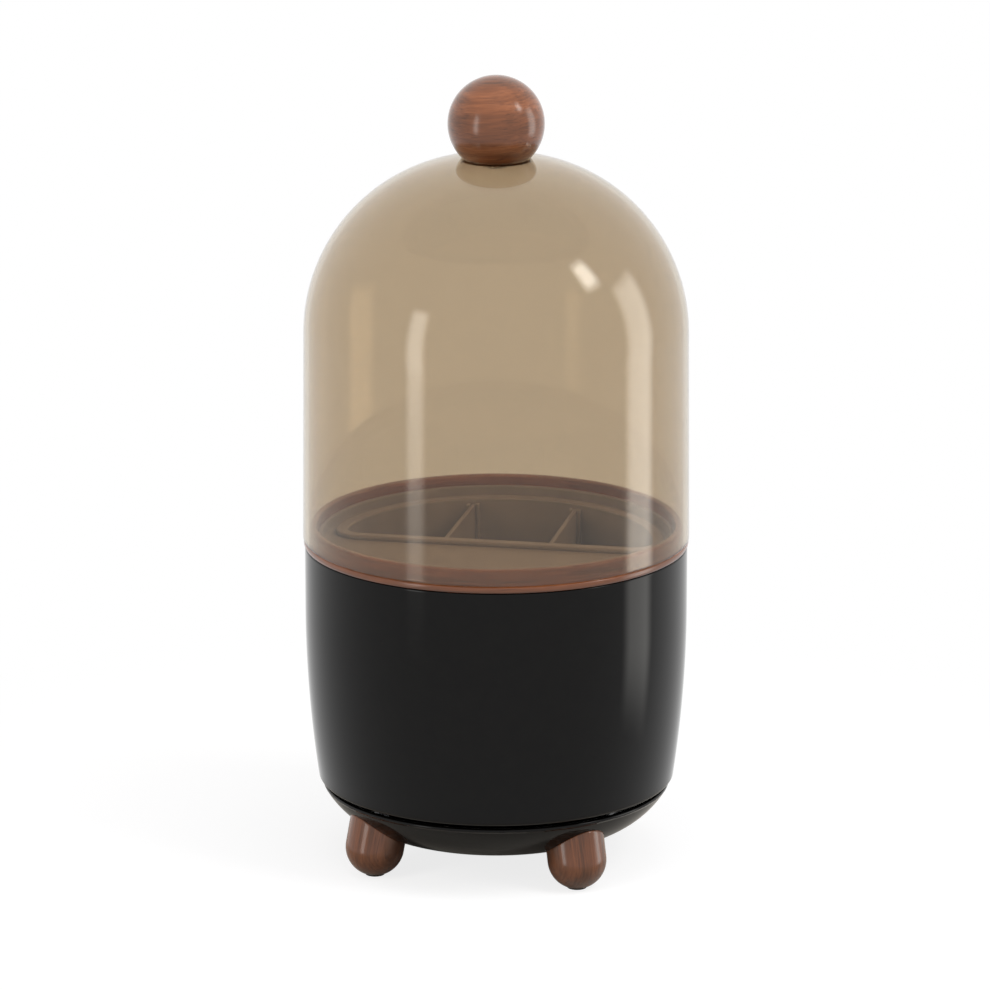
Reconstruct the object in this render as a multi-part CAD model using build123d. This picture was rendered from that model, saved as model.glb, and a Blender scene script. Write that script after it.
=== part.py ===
from build123d import *

import math
import os

# Rotating makeup brush holder with a lift-off dome.
# Millimetres and degrees, Z up, origin on the floor under the centre, front facing -Y.

# Fits and cuts
RUNNING_CLEARANCE = 0.05     # radial play of the pivot bolt and of the balls
SEAT_CLEARANCE = 0.15        # play of a piece that is set in place once
LIFT_CLEARANCE = 0.35        # play of a piece that is lifted out by hand
OVERRUN = 1.0                # how far a cutting body reaches past what it cuts

# Outer shell, whose radius the other round pieces follow
SHELL_RADIUS = 75.0          # of the straight upper part
SHELL_HEIGHT = 94.6
SHELL_STRAIGHT = 25.4        # height of the straight upper part
SHELL_DRAW_IN = 5.0          # lower edge inside the straight part
SHELL_WALL = 2.6
SHELL_FOOT_ROUND = 1.8
SHELL_TOP_ROUND = 0.6
SHELL_FLANGE_WIDTH = 9.5
SHELL_FLANGE_THICKNESS = 2.6
TURN_GAP = 1.6               # shadow gap between dish and shell

# Turntable plate
PLATE_RECESS = 0.8           # underside above the shell's lower edge
PLATE_THICKNESS = 3.0

# Base dish
DISH_BOTTOM = 11.6           # underside above the floor
DISH_DEPTH = 18.6
DISH_INSET = 1.1             # rim inside the shell's lower edge
DISH_CURVE_WIDTH = 30.9      # from the rim in to the flat bottom
DISH_WALL = 2.4
DISH_RIM_ROUND = 0.7

# Feet
FOOT_COUNT = 4
FOOT_START_ANGLE = 45.0      # direction of the first foot, from +X
FOOT_RADIUS = 11.5
FOOT_INSET = 11.9            # centres of the round ends inside the dish's rim
FOOT_SPLAY = 12.0            # lean of a foot, its lower end outward
FOOT_FLAT_RADIUS = 4.5       # flat on the round end, for the pad
PAD_MARGIN = 0.6             # flat left round the pad
PAD_PROUD = 0.8              # how far the pad stands out of the foot
PAD_SUNK = 1.2               # how far it is let into the foot
FOOT_SCREW_RADIUS = 1.75
FOOT_SCREW_GRIP = 9.0        # length of the screw in the wood
FOOT_SCREW_HEAD_EDGE = 1.75  # head past the shank
FOOT_SCREW_HEAD_HEIGHT = 2.2
FOOT_BOSS_MARGIN = 2.0       # boss past the screw's head
FOOT_BOSS_HEIGHT = 2.8       # above the dish's inside, along the foot

# Ball bearing of the turntable
BALL_COUNT = 16
BALL_RADIUS = 2.5
BALL_CIRCLE_INSET = 22.0     # inside the circle of the feet
RACE_INSIDE = 5.0            # race inward of the balls' circle
RACE_OUTSIDE = 9.5           # and outward of it
RACE_THICKNESS = 3.0
SEAT_INSIDE = 2.4            # ring in the dish under the lower race, inward of the balls' circle
CAGE_EDGE = 0.65             # cage past its pockets
CAGE_THICKNESS = 1.4
CAGE_PLAY = 0.5              # between the cage and each race
POCKET_CLEARANCE = 0.15

# Small machine screws of the races and the plate
SCREW_COUNT = 4
SCREW_RADIUS = 1.5
SCREW_HEAD_EDGE = 1.1        # head past the shank
SCREW_HEAD_HEIGHT = 1.6
RACE_SCREW_INSET = 3.3       # screw circle inside the race's outer edge
RACE_SCREW_GRIP = 5.0        # length of a lower screw in the dish
LOWER_SCREW_ANGLE = 0.0
UPPER_SCREW_ANGLE = 45.0
PLATE_SCREW_ANGLE = 45.0

# Pivot
BOLT_RADIUS = 4.0
BOLT_HEAD_EDGE = 3.5         # head past the shank
BOLT_HEAD_HEIGHT = 4.6
BUSH_WALL = 2.0
BUSH_FLANGE_WIDTH = 3.5
BUSH_FLANGE_THICKNESS = 1.2
WASHER_WIDTH = 5.0
WASHER_THICKNESS = 1.0
THRUST_GAP = 0.1
NUT_WALL = 2.5               # from the shank to a flat of the nut
NUT_HEIGHT = 3.3
NUT_SPARE = 0.4              # between the nut and the plug
CAP_THICKNESS = 1.2
POCKET_SPARE = 1.35          # pocket past the washer
HUB_WALL = 2.5               # hub past the pocket

# Wooden ring
RING_OVERHANG = 0.4          # flange past the shell
RING_FLANGE_THICKNESS = 2.9
RING_FLANGE_ROUND = 1.1
COLLAR_HEIGHT = 6.2          # above the flange
COLLAR_WALL = 3.1
COLLAR_ROUND = 0.9
LEDGE_DEPTH = 11.3           # below the collar's top
LEDGE_WIDTH = 3.2
LEDGE_THICKNESS = 2.0

# Tray in the ring
TRAY_FLOOR = 2.2
TRAY_WALL = 1.8
TRAY_RIM_HEIGHT = 5.0        # above the tray's floor
TRAY_RIM_ROUND = 0.6

# Brush well, hung in the tray behind the shelf
WELL_INSET = 3.95            # its side inside the ledge
WELL_FRONT = 4.0             # its front face in front of the centre
WELL_WALL = 1.8
WELL_CORNER = 9.0
WELL_GAP = 4.2               # its underside above the bolt's head
WELL_FLANGE_WIDTH = 3.2
WELL_FLANGE_THICKNESS = 1.8
PARTITION_OFFSET = 21.0      # each side of the middle
PARTITION_THICKNESS = 1.8
PARTITION_DROP = 2.0         # its top below the well's flange
GUIDE_DEPTH = 2.0            # guide ribs of a partition
GUIDE_WIDTH = 1.4

# Dome
DOME_OVERHANG = 0.3          # lower edge past the ring
DOME_DRAW_IN = 0.8           # straight wall's lean, from its foot to its top
DOME_STRAIGHT = 82.4         # height of the straight wall
DOME_SHOULDER_OFFSET = 5.4   # centre of the shoulder's arc from the axis
DOME_WALL = 2.1
DOME_EDGE_ROUND = 0.6
LAND_MARGIN = 0.4            # flat on the crown round the knob

# Knob
KNOB_RADIUS = 18.75
KNOB_FLAT_DEPTH = 5.45       # cut off the ball below
KNOB_SCREW_RADIUS = 1.75
KNOB_SCREW_HEAD_EDGE = 1.75  # head past the shank
KNOB_SCREW_HEAD_HEIGHT = 1.6
INSERT_WALL = 1.25
INSERT_LENGTH = 11.0
INSERT_SPARE = 2.0           # insert past the screw's tip
KNOB_WASHER_WIDTH = 3.1
KNOB_WASHER_THICKNESS = 0.6

# Hexagon sockets in the screw heads
SOCKET_WIDTH_SHARE = 0.95    # over the corners, of the head's radius
SOCKET_DEPTH_SHARE = 0.55    # of the head's height

# Radii
shell_foot_radius = SHELL_RADIUS - SHELL_DRAW_IN
dish_rim_radius = shell_foot_radius - DISH_INSET
dish_flat_radius = dish_rim_radius - DISH_CURVE_WIDTH
foot_circle = dish_rim_radius - FOOT_INSET
pad_radius = FOOT_FLAT_RADIUS - PAD_MARGIN
ball_circle = foot_circle - BALL_CIRCLE_INSET
race_inner_radius = ball_circle - RACE_INSIDE
race_outer_radius = ball_circle + RACE_OUTSIDE
race_screw_circle = race_outer_radius - RACE_SCREW_INSET
seat_inner_radius = ball_circle - SEAT_INSIDE
cage_width = 2 * (BALL_RADIUS + POCKET_CLEARANCE + CAGE_EDGE)
screw_head_radius = SCREW_RADIUS + SCREW_HEAD_EDGE
foot_screw_head_radius = FOOT_SCREW_RADIUS + FOOT_SCREW_HEAD_EDGE
foot_boss_radius = foot_screw_head_radius + FOOT_BOSS_MARGIN
bolt_head_radius = BOLT_RADIUS + BOLT_HEAD_EDGE
bush_bore = BOLT_RADIUS + RUNNING_CLEARANCE
bush_radius = bush_bore + BUSH_WALL
bush_flange_radius = bush_radius + BUSH_FLANGE_WIDTH
washer_radius = BOLT_RADIUS + SEAT_CLEARANCE + WASHER_WIDTH
nut_pocket_radius = washer_radius + POCKET_SPARE
hub_radius = nut_pocket_radius + HUB_WALL
nut_flats = 2 * (BOLT_RADIUS + NUT_WALL)
ring_radius = SHELL_RADIUS + RING_OVERHANG
dome_radius = ring_radius + DOME_OVERHANG
dome_shoulder_radius = dome_radius - DOME_DRAW_IN
collar_radius = dome_radius - DOME_WALL - LIFT_CLEARANCE
ring_bore = collar_radius - COLLAR_WALL
tray_radius = ring_bore - SEAT_CLEARANCE
well_radius = ring_bore - LEDGE_WIDTH - WELL_INSET
knob_seat_drop = KNOB_RADIUS - KNOB_FLAT_DEPTH
knob_flat_radius = math.sqrt(KNOB_RADIUS**2 - knob_seat_drop**2)
land_radius = knob_flat_radius + LAND_MARGIN
knob_screw_head_radius = KNOB_SCREW_RADIUS + KNOB_SCREW_HEAD_EDGE
insert_radius = KNOB_SCREW_RADIUS + SEAT_CLEARANCE + INSERT_WALL
knob_washer_radius = KNOB_SCREW_RADIUS + SEAT_CLEARANCE + KNOB_WASHER_WIDTH

# Heights above the floor
foot_centre = PAD_PROUD + math.sqrt(FOOT_RADIUS**2 - FOOT_FLAT_RADIUS**2)
dish_floor = DISH_BOTTOM + DISH_WALL
dish_rim = DISH_BOTTOM + DISH_DEPTH
shell_foot = dish_rim + TURN_GAP
shell_top = shell_foot + SHELL_HEIGHT
plate_low = shell_foot + PLATE_RECESS
plate_high = plate_low + PLATE_THICKNESS
upper_race_low = plate_low - RACE_THICKNESS
lower_race_high = upper_race_low - CAGE_THICKNESS - 2 * CAGE_PLAY
seat_top = lower_race_high - RACE_THICKNESS
ball_centre = (upper_race_low + lower_race_high) / 2
nut_low = DISH_BOTTOM + CAP_THICKNESS + NUT_SPARE
nut_high = nut_low + NUT_HEIGHT
washer_high = nut_high + WASHER_THICKNESS
pocket_roof = washer_high + THRUST_GAP
lower_screw_seat = lower_race_high - SCREW_HEAD_HEIGHT
upper_screw_seat = upper_race_low + SCREW_HEAD_HEIGHT
plate_screw_seat = plate_low + SCREW_HEAD_HEIGHT
dome_seat = shell_top + RING_FLANGE_THICKNESS
collar_top = dome_seat + COLLAR_HEIGHT
ledge_top = collar_top - LEDGE_DEPTH
tray_floor = ledge_top + TRAY_FLOOR
well_flange_top = tray_floor + WELL_FLANGE_THICKNESS
well_low = plate_high + BOLT_HEAD_HEIGHT + WELL_GAP
well_floor = well_low + WELL_WALL
dome_shoulder = dome_seat + DOME_STRAIGHT

# The dish's side is one arc, level where it leaves the flat bottom.
dish_arc = (DISH_CURVE_WIDTH**2 + DISH_DEPTH**2) / (2 * DISH_DEPTH)

# The shell's lower part is one arc, upright where it leaves the straight part.
shell_curved = SHELL_HEIGHT - SHELL_STRAIGHT
shell_arc = (shell_curved**2 + SHELL_DRAW_IN**2) / (2 * SHELL_DRAW_IN)

# The dome's shoulder is one arc that starts along the leaning wall and ends at the flat.
dome_lean = math.atan2(DOME_DRAW_IN, DOME_STRAIGHT)
shoulder_arc = (dome_shoulder_radius - DOME_SHOULDER_OFFSET) / math.cos(dome_lean)
shoulder_z = dome_shoulder - shoulder_arc * math.sin(dome_lean)
land_top = shoulder_z + math.sqrt(shoulder_arc**2 - (land_radius - DOME_SHOULDER_OFFSET)**2)
land_low = land_top - DOME_WALL
knob_centre = land_top + knob_seat_drop

UP = (Align.CENTER, Align.CENTER, Align.MIN)


def rod(radius, low, high):
    """A solid cylinder on the axis between two heights."""
    return Pos(0, 0, low) * Cylinder(radius, high - low, align=UP)


def tube(outer, inner, low, high):
    """A ring of rectangular section between two heights."""
    return rod(outer, low, high) - rod(inner, low - OVERRUN, high + OVERRUN)


def turned(outline):
    """Turn a closed outline, given as radius and height, round the axis."""
    return revolve(Plane.XZ * make_face(outline), Axis.Z)


def around(shape, radius, count, start):
    """Copies of a shape on a circle round the axis."""
    step = 360 / count
    return [Rot(0, 0, start + step * i) * (Pos(radius, 0, 0) * shape) for i in range(count)]


def cut_all(body, tools):
    """Take each tool away from a body."""
    for tool in tools:
        body -= tool
    return body


def socket_screw(shank_radius, head_radius, head_height, seat, tip):
    """An upright screw whose head rests on the seat height and whose tip points to `tip`."""
    facing = 1 if seat > tip else -1
    crown = seat + facing * head_height
    head = rod(head_radius, min(seat, crown), max(seat, crown))
    shank = rod(shank_radius, min(seat, tip), max(seat, tip))
    depth = head_height * SOCKET_DEPTH_SHARE
    socket = extrude(RegularPolygon(head_radius * SOCKET_WIDTH_SHARE / 2, 6), depth + OVERRUN)
    floor = crown - depth if facing > 0 else crown - OVERRUN
    return head + shank - Pos(0, 0, floor) * socket


def dish_curve(radius):
    """The dish's curve, from the edge of its flat up to the rim."""
    centre = (dish_flat_radius, DISH_BOTTOM + dish_arc)
    sweep = math.degrees(math.acos((centre[1] - dish_rim) / radius))
    return CenterArc(centre, radius, -90, sweep)


def dish_form():
    """The dish's outside as a full body, carried on past the rim."""
    outside = dish_curve(dish_arc)
    above = dish_rim + DISH_DEPTH
    outline = [
        Line((0, DISH_BOTTOM), outside @ 0),
        outside,
        Polyline(outside @ 1, (dish_rim_radius, above), (0, above), (0, DISH_BOTTOM)),
    ]
    return turned(outline)


def foot_place(index):
    """Where a foot stands: its round end's centre, leaning, in its own direction."""
    angle = FOOT_START_ANGLE + 360 / FOOT_COUNT * index
    return Rot(0, 0, angle) * Pos(foot_circle, 0, foot_centre) * Rot(0, -FOOT_SPLAY, 0)


def axis_to_dish(radius):
    """How far up a foot's axis, from its round end's centre, lies one of the dish's arcs."""
    lean = math.radians(FOOT_SPLAY)
    out = foot_circle - dish_flat_radius
    up = foot_centre - DISH_BOTTOM - dish_arc
    along = up * math.cos(lean) - out * math.sin(lean)
    return -along - math.sqrt(along**2 - out**2 - up**2 + radius**2)


foot_straight = axis_to_dish(dish_arc) + FOOT_RADIUS
foot_boss_top = axis_to_dish(dish_arc - DISH_WALL) + FOOT_BOSS_HEIGHT
foot_screw_tip = axis_to_dish(dish_arc) - FOOT_SCREW_GRIP


def base_dish():
    """Bowl with hub, bearing seat, nut pocket and a boss for each foot."""
    outside = dish_curve(dish_arc)
    inside = dish_curve(dish_arc - DISH_WALL)
    outline = make_face([
        Line((0, DISH_BOTTOM), outside @ 0),
        outside,
        Line(outside @ 1, inside @ 1),
        inside,
        Polyline(inside @ 0, (0, dish_floor), (0, DISH_BOTTOM)),
    ])
    rim = outline.vertices().group_by(Axis.Y)[-1]
    dish = revolve(Plane.XZ * fillet(rim, DISH_RIM_ROUND), Axis.Z)
    form = dish_form()
    dish += tube(race_outer_radius, seat_inner_radius, DISH_BOTTOM, seat_top) & form
    dish += rod(hub_radius, DISH_BOTTOM, seat_top)
    for i in range(FOOT_COUNT):
        dish += foot_place(i) * rod(foot_boss_radius, 0, foot_boss_top) & form
    dish -= rod(nut_pocket_radius, DISH_BOTTOM - OVERRUN, pocket_roof)
    dish -= rod(bush_radius + SEAT_CLEARANCE, DISH_BOTTOM, seat_top + OVERRUN)
    pilot = rod(SCREW_RADIUS + SEAT_CLEARANCE, seat_top - RACE_SCREW_GRIP - SEAT_CLEARANCE, seat_top + OVERRUN)
    dish = cut_all(dish, around(pilot, race_screw_circle, SCREW_COUNT, LOWER_SCREW_ANGLE))
    hole = rod(FOOT_SCREW_RADIUS + SEAT_CLEARANCE, -FOOT_RADIUS, foot_boss_top + OVERRUN)
    return cut_all(dish, [foot_place(i) * hole for i in range(FOOT_COUNT)])


def foot(index):
    """A bullet foot, hollowed above to the dish's curve, with a flat and a recess for the pad."""
    place = foot_place(index)
    body = place * (Sphere(FOOT_RADIUS) + rod(FOOT_RADIUS, 0, foot_straight)) - dish_form()
    standing = Rot(0, 0, FOOT_START_ANGLE + 360 / FOOT_COUNT * index) * Pos(foot_circle, 0, 0)
    body -= standing * rod(FOOT_RADIUS, -FOOT_RADIUS, PAD_PROUD)
    body -= standing * rod(pad_radius + SEAT_CLEARANCE, 0, PAD_PROUD + PAD_SUNK)
    hole = rod(FOOT_SCREW_RADIUS + SEAT_CLEARANCE, foot_screw_tip - SEAT_CLEARANCE, foot_straight)
    return body - place * hole


def foot_pads():
    """The pads under the feet."""
    pad = rod(pad_radius, 0, PAD_PROUD + PAD_SUNK)
    return Compound(children=around(pad, foot_circle, FOOT_COUNT, FOOT_START_ANGLE))


def foot_screws():
    """The screws from the dish's bosses into the feet."""
    screw = socket_screw(
        FOOT_SCREW_RADIUS,
        foot_screw_head_radius,
        FOOT_SCREW_HEAD_HEIGHT,
        foot_boss_top,
        foot_screw_tip,
    )
    return Compound(children=[foot_place(i) * screw for i in range(FOOT_COUNT)])


def race(low, heads_up, screw_angle):
    """A bearing race with its groove and counterbored screw holes."""
    high = low + RACE_THICKNESS
    body = tube(race_outer_radius, race_inner_radius, low, high)
    body -= Pos(0, 0, ball_centre) * Torus(ball_circle, BALL_RADIUS + RUNNING_CLEARANCE)
    hole = rod(SCREW_RADIUS + SEAT_CLEARANCE, low - OVERRUN, high + OVERRUN)
    if heads_up:
        sink = rod(screw_head_radius + SEAT_CLEARANCE, lower_screw_seat, high + OVERRUN)
    else:
        sink = rod(screw_head_radius + SEAT_CLEARANCE, low - OVERRUN, upper_screw_seat)
    return cut_all(body, around(hole + sink, race_screw_circle, SCREW_COUNT, screw_angle))


def small_screws(seat, tip, circle, angle):
    """A ring of machine screws."""
    screw = socket_screw(SCREW_RADIUS, screw_head_radius, SCREW_HEAD_HEIGHT, seat, tip)
    return Compound(children=around(screw, circle, SCREW_COUNT, angle))


def ball_cage():
    """Flat ring with a pocket for each ball."""
    outer = ball_circle + cage_width / 2
    low = ball_centre - CAGE_THICKNESS / 2
    high = ball_centre + CAGE_THICKNESS / 2
    ring = tube(outer, outer - cage_width, low, high)
    pocket = rod(BALL_RADIUS + POCKET_CLEARANCE, low - OVERRUN, high + OVERRUN)
    return cut_all(ring, around(pocket, ball_circle, BALL_COUNT, 0))


def bearing_balls():
    """The balls between the races."""
    ball = Pos(0, 0, ball_centre) * Sphere(BALL_RADIUS)
    return Compound(children=around(ball, ball_circle, BALL_COUNT, 0))


def pivot_bolt():
    """The bolt that the turntable turns on, its head on the plate."""
    return socket_screw(BOLT_RADIUS, bolt_head_radius, BOLT_HEAD_HEIGHT, plate_high, nut_low)


def pivot_bush():
    """Flanged plain bush in the dish's hub."""
    sleeve = tube(bush_radius, bush_bore, pocket_roof, seat_top)
    return sleeve + tube(bush_flange_radius, bush_bore, seat_top, seat_top + BUSH_FLANGE_THICKNESS)


def thrust_washer():
    """Washer between the lock nut and the hub."""
    return tube(washer_radius, BOLT_RADIUS + SEAT_CLEARANCE, nut_high, washer_high)


def lock_nut():
    """Hexagon nut on the bolt's end."""
    hexagon = RegularPolygon(nut_flats / 2, 6, major_radius=False)
    nut = Pos(0, 0, nut_low) * extrude(hexagon, NUT_HEIGHT)
    return nut - rod(BOLT_RADIUS + SEAT_CLEARANCE, nut_low - OVERRUN, nut_high + OVERRUN)


def base_cap():
    """Plug that closes the nut pocket, flush with the dish's underside."""
    return rod(nut_pocket_radius - SEAT_CLEARANCE, DISH_BOTTOM, DISH_BOTTOM + CAP_THICKNESS)


def shell_radius(height):
    """Outer radius of the shell's curved part at a height."""
    below = shell_top - SHELL_STRAIGHT - height
    return SHELL_RADIUS - shell_arc + math.sqrt(shell_arc**2 - below**2)


shell_bore = shell_radius(plate_low) - SHELL_WALL
plate_radius = shell_bore - SEAT_CLEARANCE
plate_screw_circle = shell_bore - SHELL_FLANGE_WIDTH / 2


def shell_curve(radius):
    """The shell's curved side, from its lower edge up to the straight part."""
    sweep = math.degrees(math.asin(shell_curved / radius))
    return CenterArc((SHELL_RADIUS - shell_arc, shell_top - SHELL_STRAIGHT), radius, -sweep, sweep)


def outer_shell():
    """Barrel-shaped wall with an inner flange that the plate is screwed to."""
    outside = shell_curve(shell_arc)
    inside = shell_curve(shell_arc - SHELL_WALL)
    bore = SHELL_RADIUS - SHELL_WALL
    outline = make_face([
        outside,
        Polyline(outside @ 1, (SHELL_RADIUS, shell_top), (bore, shell_top), inside @ 1),
        inside,
        Line(inside @ 0, outside @ 0),
    ])
    foot_edge = outline.vertices().group_by(Axis.Y)[0].sort_by(Axis.X)[-1]
    outline = fillet(foot_edge, SHELL_FOOT_ROUND)
    top_edge = outline.vertices().group_by(Axis.Y)[-1].sort_by(Axis.X)[-1]
    outline = fillet(top_edge, SHELL_TOP_ROUND)
    wall = revolve(Plane.XZ * outline, Axis.Z)
    edge = shell_radius(plate_high) - SHELL_WALL / 2
    inner = shell_bore - SHELL_FLANGE_WIDTH
    wall += tube(edge, inner, plate_high, plate_high + SHELL_FLANGE_THICKNESS)
    hole = rod(SCREW_RADIUS + SEAT_CLEARANCE, plate_high - OVERRUN, plate_high + SHELL_FLANGE_THICKNESS + OVERRUN)
    return cut_all(wall, around(hole, plate_screw_circle, SCREW_COUNT, PLATE_SCREW_ANGLE))


def turntable_plate():
    """Disc under the shell that carries the upper race and the bolt."""
    plate = rod(plate_radius, plate_low, plate_high)
    plate -= rod(BOLT_RADIUS + SEAT_CLEARANCE, plate_low - OVERRUN, plate_high + OVERRUN)
    hole = rod(SCREW_RADIUS + SEAT_CLEARANCE, plate_low - OVERRUN, plate_high + OVERRUN)
    plate = cut_all(plate, around(hole, race_screw_circle, SCREW_COUNT, UPPER_SCREW_ANGLE))
    sink = rod(screw_head_radius + SEAT_CLEARANCE, plate_low - OVERRUN, plate_screw_seat)
    return cut_all(plate, around(hole + sink, plate_screw_circle, SCREW_COUNT, PLATE_SCREW_ANGLE))


def rim_ring():
    """Turned ring: flange on the shell, collar inside the dome, spigot and ledge below."""
    flange = tube(ring_radius, ring_bore, shell_top, dome_seat)
    flange = fillet(flange.edges().filter_by(GeomType.CIRCLE).group_by(SortBy.RADIUS)[-1], RING_FLANGE_ROUND)
    collar = tube(collar_radius, ring_bore, shell_top, collar_top)
    collar = fillet(collar.edges().filter_by(GeomType.CIRCLE).group_by(Axis.Z)[-1], COLLAR_ROUND)
    spigot_radius = SHELL_RADIUS - SHELL_WALL - SEAT_CLEARANCE
    ledge_low = ledge_top - LEDGE_THICKNESS
    spigot = tube(spigot_radius, ring_bore, ledge_low, dome_seat)
    ledge = tube(spigot_radius, ring_bore - LEDGE_WIDTH, ledge_low, ledge_top)
    return flange + collar + spigot + ledge


def well_outline(grow):
    """The well's plan, a rounded D with its straight side in front, grown by an amount."""
    radius = well_radius + grow
    front = WELL_FRONT + grow
    plan = Circle(radius) & Pos(0, radius - front) * Rectangle(2 * radius, 2 * radius)
    return fillet(plan.vertices(), WELL_CORNER + grow)


def well_block(grow, low, high):
    """An upright block on the well's plan."""
    return Pos(0, 0, low) * extrude(well_outline(grow), high - low)


def insert_tray():
    """Round tray on the ring's ledge: shelf in front, opening for the well behind."""
    rim_top = tray_floor + TRAY_RIM_HEIGHT
    tray = rod(tray_radius, ledge_top, rim_top)
    tray -= rod(tray_radius - TRAY_WALL, tray_floor, rim_top + OVERRUN)
    top_edges = tray.edges().filter_by(GeomType.CIRCLE).group_by(Axis.Z)[-1]
    tray = fillet(top_edges, TRAY_RIM_ROUND)
    return tray - well_block(LIFT_CLEARANCE, ledge_top - OVERRUN, tray_floor + OVERRUN)


def well_room(grow):
    """The hollow of the well, open above."""
    return well_block(grow - WELL_WALL, well_floor, well_flange_top + OVERRUN)


def brush_well():
    """Deep tub that hangs in the tray by its flange, with guides for the partitions."""
    tub = well_block(0, well_low, well_flange_top)
    tub += well_block(WELL_FLANGE_WIDTH, tray_floor, well_flange_top)
    tub -= well_room(0)
    guide_top = well_flange_top - PARTITION_DROP
    guides = well_block(-WELL_WALL, well_floor, guide_top)
    guides -= well_block(-WELL_WALL - GUIDE_DEPTH, well_floor - OVERRUN, guide_top + OVERRUN)
    reach = PARTITION_THICKNESS / 2 + SEAT_CLEARANCE + GUIDE_WIDTH / 2
    height = guide_top - well_floor
    for middle in (-PARTITION_OFFSET, PARTITION_OFFSET):
        for side in (-reach, reach):
            slab = Pos(middle + side, 0, well_floor) * Box(GUIDE_WIDTH, 2 * well_radius, height, align=UP)
            tub += guides & slab
    return tub


def well_partition(middle):
    """A thin wall that stands between the guides in the well."""
    top = well_flange_top - PARTITION_DROP
    slab = Box(PARTITION_THICKNESS, 2 * well_radius, top - well_floor, align=UP)
    return Pos(middle, 0, well_floor) * slab & well_block(-WELL_WALL - SEAT_CLEARANCE, well_floor, top)


def dome_side(inward):
    """Outline edges of the dome's skin from the seat to the flat, moved inward by an amount."""
    radius = shoulder_arc - inward
    land = land_top - inward
    turn = math.asin((land - shoulder_z) / radius) - dome_lean
    centre = (DOME_SHOULDER_OFFSET, shoulder_z)
    shoulder = CenterArc(centre, radius, math.degrees(dome_lean), math.degrees(turn))
    foot_radius = dome_radius - inward * math.cos(dome_lean)
    return Line((foot_radius, dome_seat), shoulder @ 0), shoulder, land


def dome_cover():
    """Thin dome with a slightly drawn-in wall, a flat on its crown and a hole for the knob's screw."""
    wall, shoulder, land = dome_side(0)
    inner_wall, inner_shoulder, inner_land = dome_side(DOME_WALL)
    outline = make_face([
        wall,
        shoulder,
        Polyline(shoulder @ 1, (0, land), (0, inner_land), inner_shoulder @ 1),
        inner_shoulder,
        inner_wall,
        Line(inner_wall @ 0, wall @ 0),
    ])
    edge = outline.vertices().group_by(Axis.Y)[0]
    dome = revolve(Plane.XZ * fillet(edge, DOME_EDGE_ROUND), Axis.Z)
    return dome - rod(KNOB_SCREW_RADIUS + SEAT_CLEARANCE, inner_land - OVERRUN, land + OVERRUN)


def knob_ball():
    """Wooden ball, flat below, bored for the insert."""
    ball = Pos(0, 0, knob_centre) * Sphere(KNOB_RADIUS)
    ball -= rod(KNOB_RADIUS, knob_centre - KNOB_RADIUS - OVERRUN, land_top)
    return ball - rod(insert_radius + SEAT_CLEARANCE, land_top - OVERRUN, land_top + INSERT_LENGTH)


def knob_insert():
    """Threaded sleeve in the ball."""
    return tube(insert_radius, KNOB_SCREW_RADIUS + SEAT_CLEARANCE, land_top, land_top + INSERT_LENGTH)


def knob_washer():
    """Washer under the crown, inside the dome."""
    low = land_low - KNOB_WASHER_THICKNESS
    return tube(knob_washer_radius, KNOB_SCREW_RADIUS + SEAT_CLEARANCE, low, land_low)


def knob_screw():
    """Screw from inside the dome into the knob's insert."""
    seat = land_low - KNOB_WASHER_THICKNESS
    tip = land_top + INSERT_LENGTH - INSERT_SPARE
    return socket_screw(KNOB_SCREW_RADIUS, knob_screw_head_radius, KNOB_SCREW_HEAD_HEIGHT, seat, tip)


def all_nodes():
    """Every node by its name."""
    nodes = {
        "base_dish": base_dish(),
        "foot_pads": foot_pads(),
        "foot_screws": foot_screws(),
        "lower_race": race(seat_top, True, LOWER_SCREW_ANGLE),
        "lower_race_screws": small_screws(
            lower_screw_seat, seat_top - RACE_SCREW_GRIP, race_screw_circle, LOWER_SCREW_ANGLE
        ),
        "pivot_bush": pivot_bush(),
        "base_cap": base_cap(),
        "ball_cage": ball_cage(),
        "bearing_balls": bearing_balls(),
        "outer_shell": outer_shell(),
        "turntable_plate": turntable_plate(),
        "plate_screws": small_screws(
            plate_screw_seat, plate_high + SHELL_FLANGE_THICKNESS, plate_screw_circle, PLATE_SCREW_ANGLE
        ),
        "upper_race": race(upper_race_low, False, UPPER_SCREW_ANGLE),
        "upper_race_screws": small_screws(upper_screw_seat, plate_high, race_screw_circle, UPPER_SCREW_ANGLE),
        "pivot_bolt": pivot_bolt(),
        "thrust_washer": thrust_washer(),
        "lock_nut": lock_nut(),
        "rim_ring": rim_ring(),
        "insert_tray": insert_tray(),
        "brush_well": brush_well(),
        "partition_left": well_partition(-PARTITION_OFFSET),
        "partition_right": well_partition(PARTITION_OFFSET),
        "dome_cover": dome_cover(),
        "knob_ball": knob_ball(),
        "knob_insert": knob_insert(),
        "knob_screw": knob_screw(),
        "knob_washer": knob_washer(),
    }
    for i in range(FOOT_COUNT):
        nodes["foot_" + str(i + 1)] = foot(i)
    return nodes


os.makedirs("parts", exist_ok=True)
for name, shape in all_nodes().items():
    export_step(shape, "parts/" + name + ".step")
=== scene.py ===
"""Looks of a rotating makeup brush holder: lift-off tinted dome, walnut trim, gloss black body.

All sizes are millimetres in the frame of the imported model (Z up, front towards -Y) and become
metres when a mesh is made. Angles are degrees unless a name says otherwise.
"""

import logging
import math
from dataclasses import dataclass
from enum import Enum
from typing import Protocol, Sequence

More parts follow.
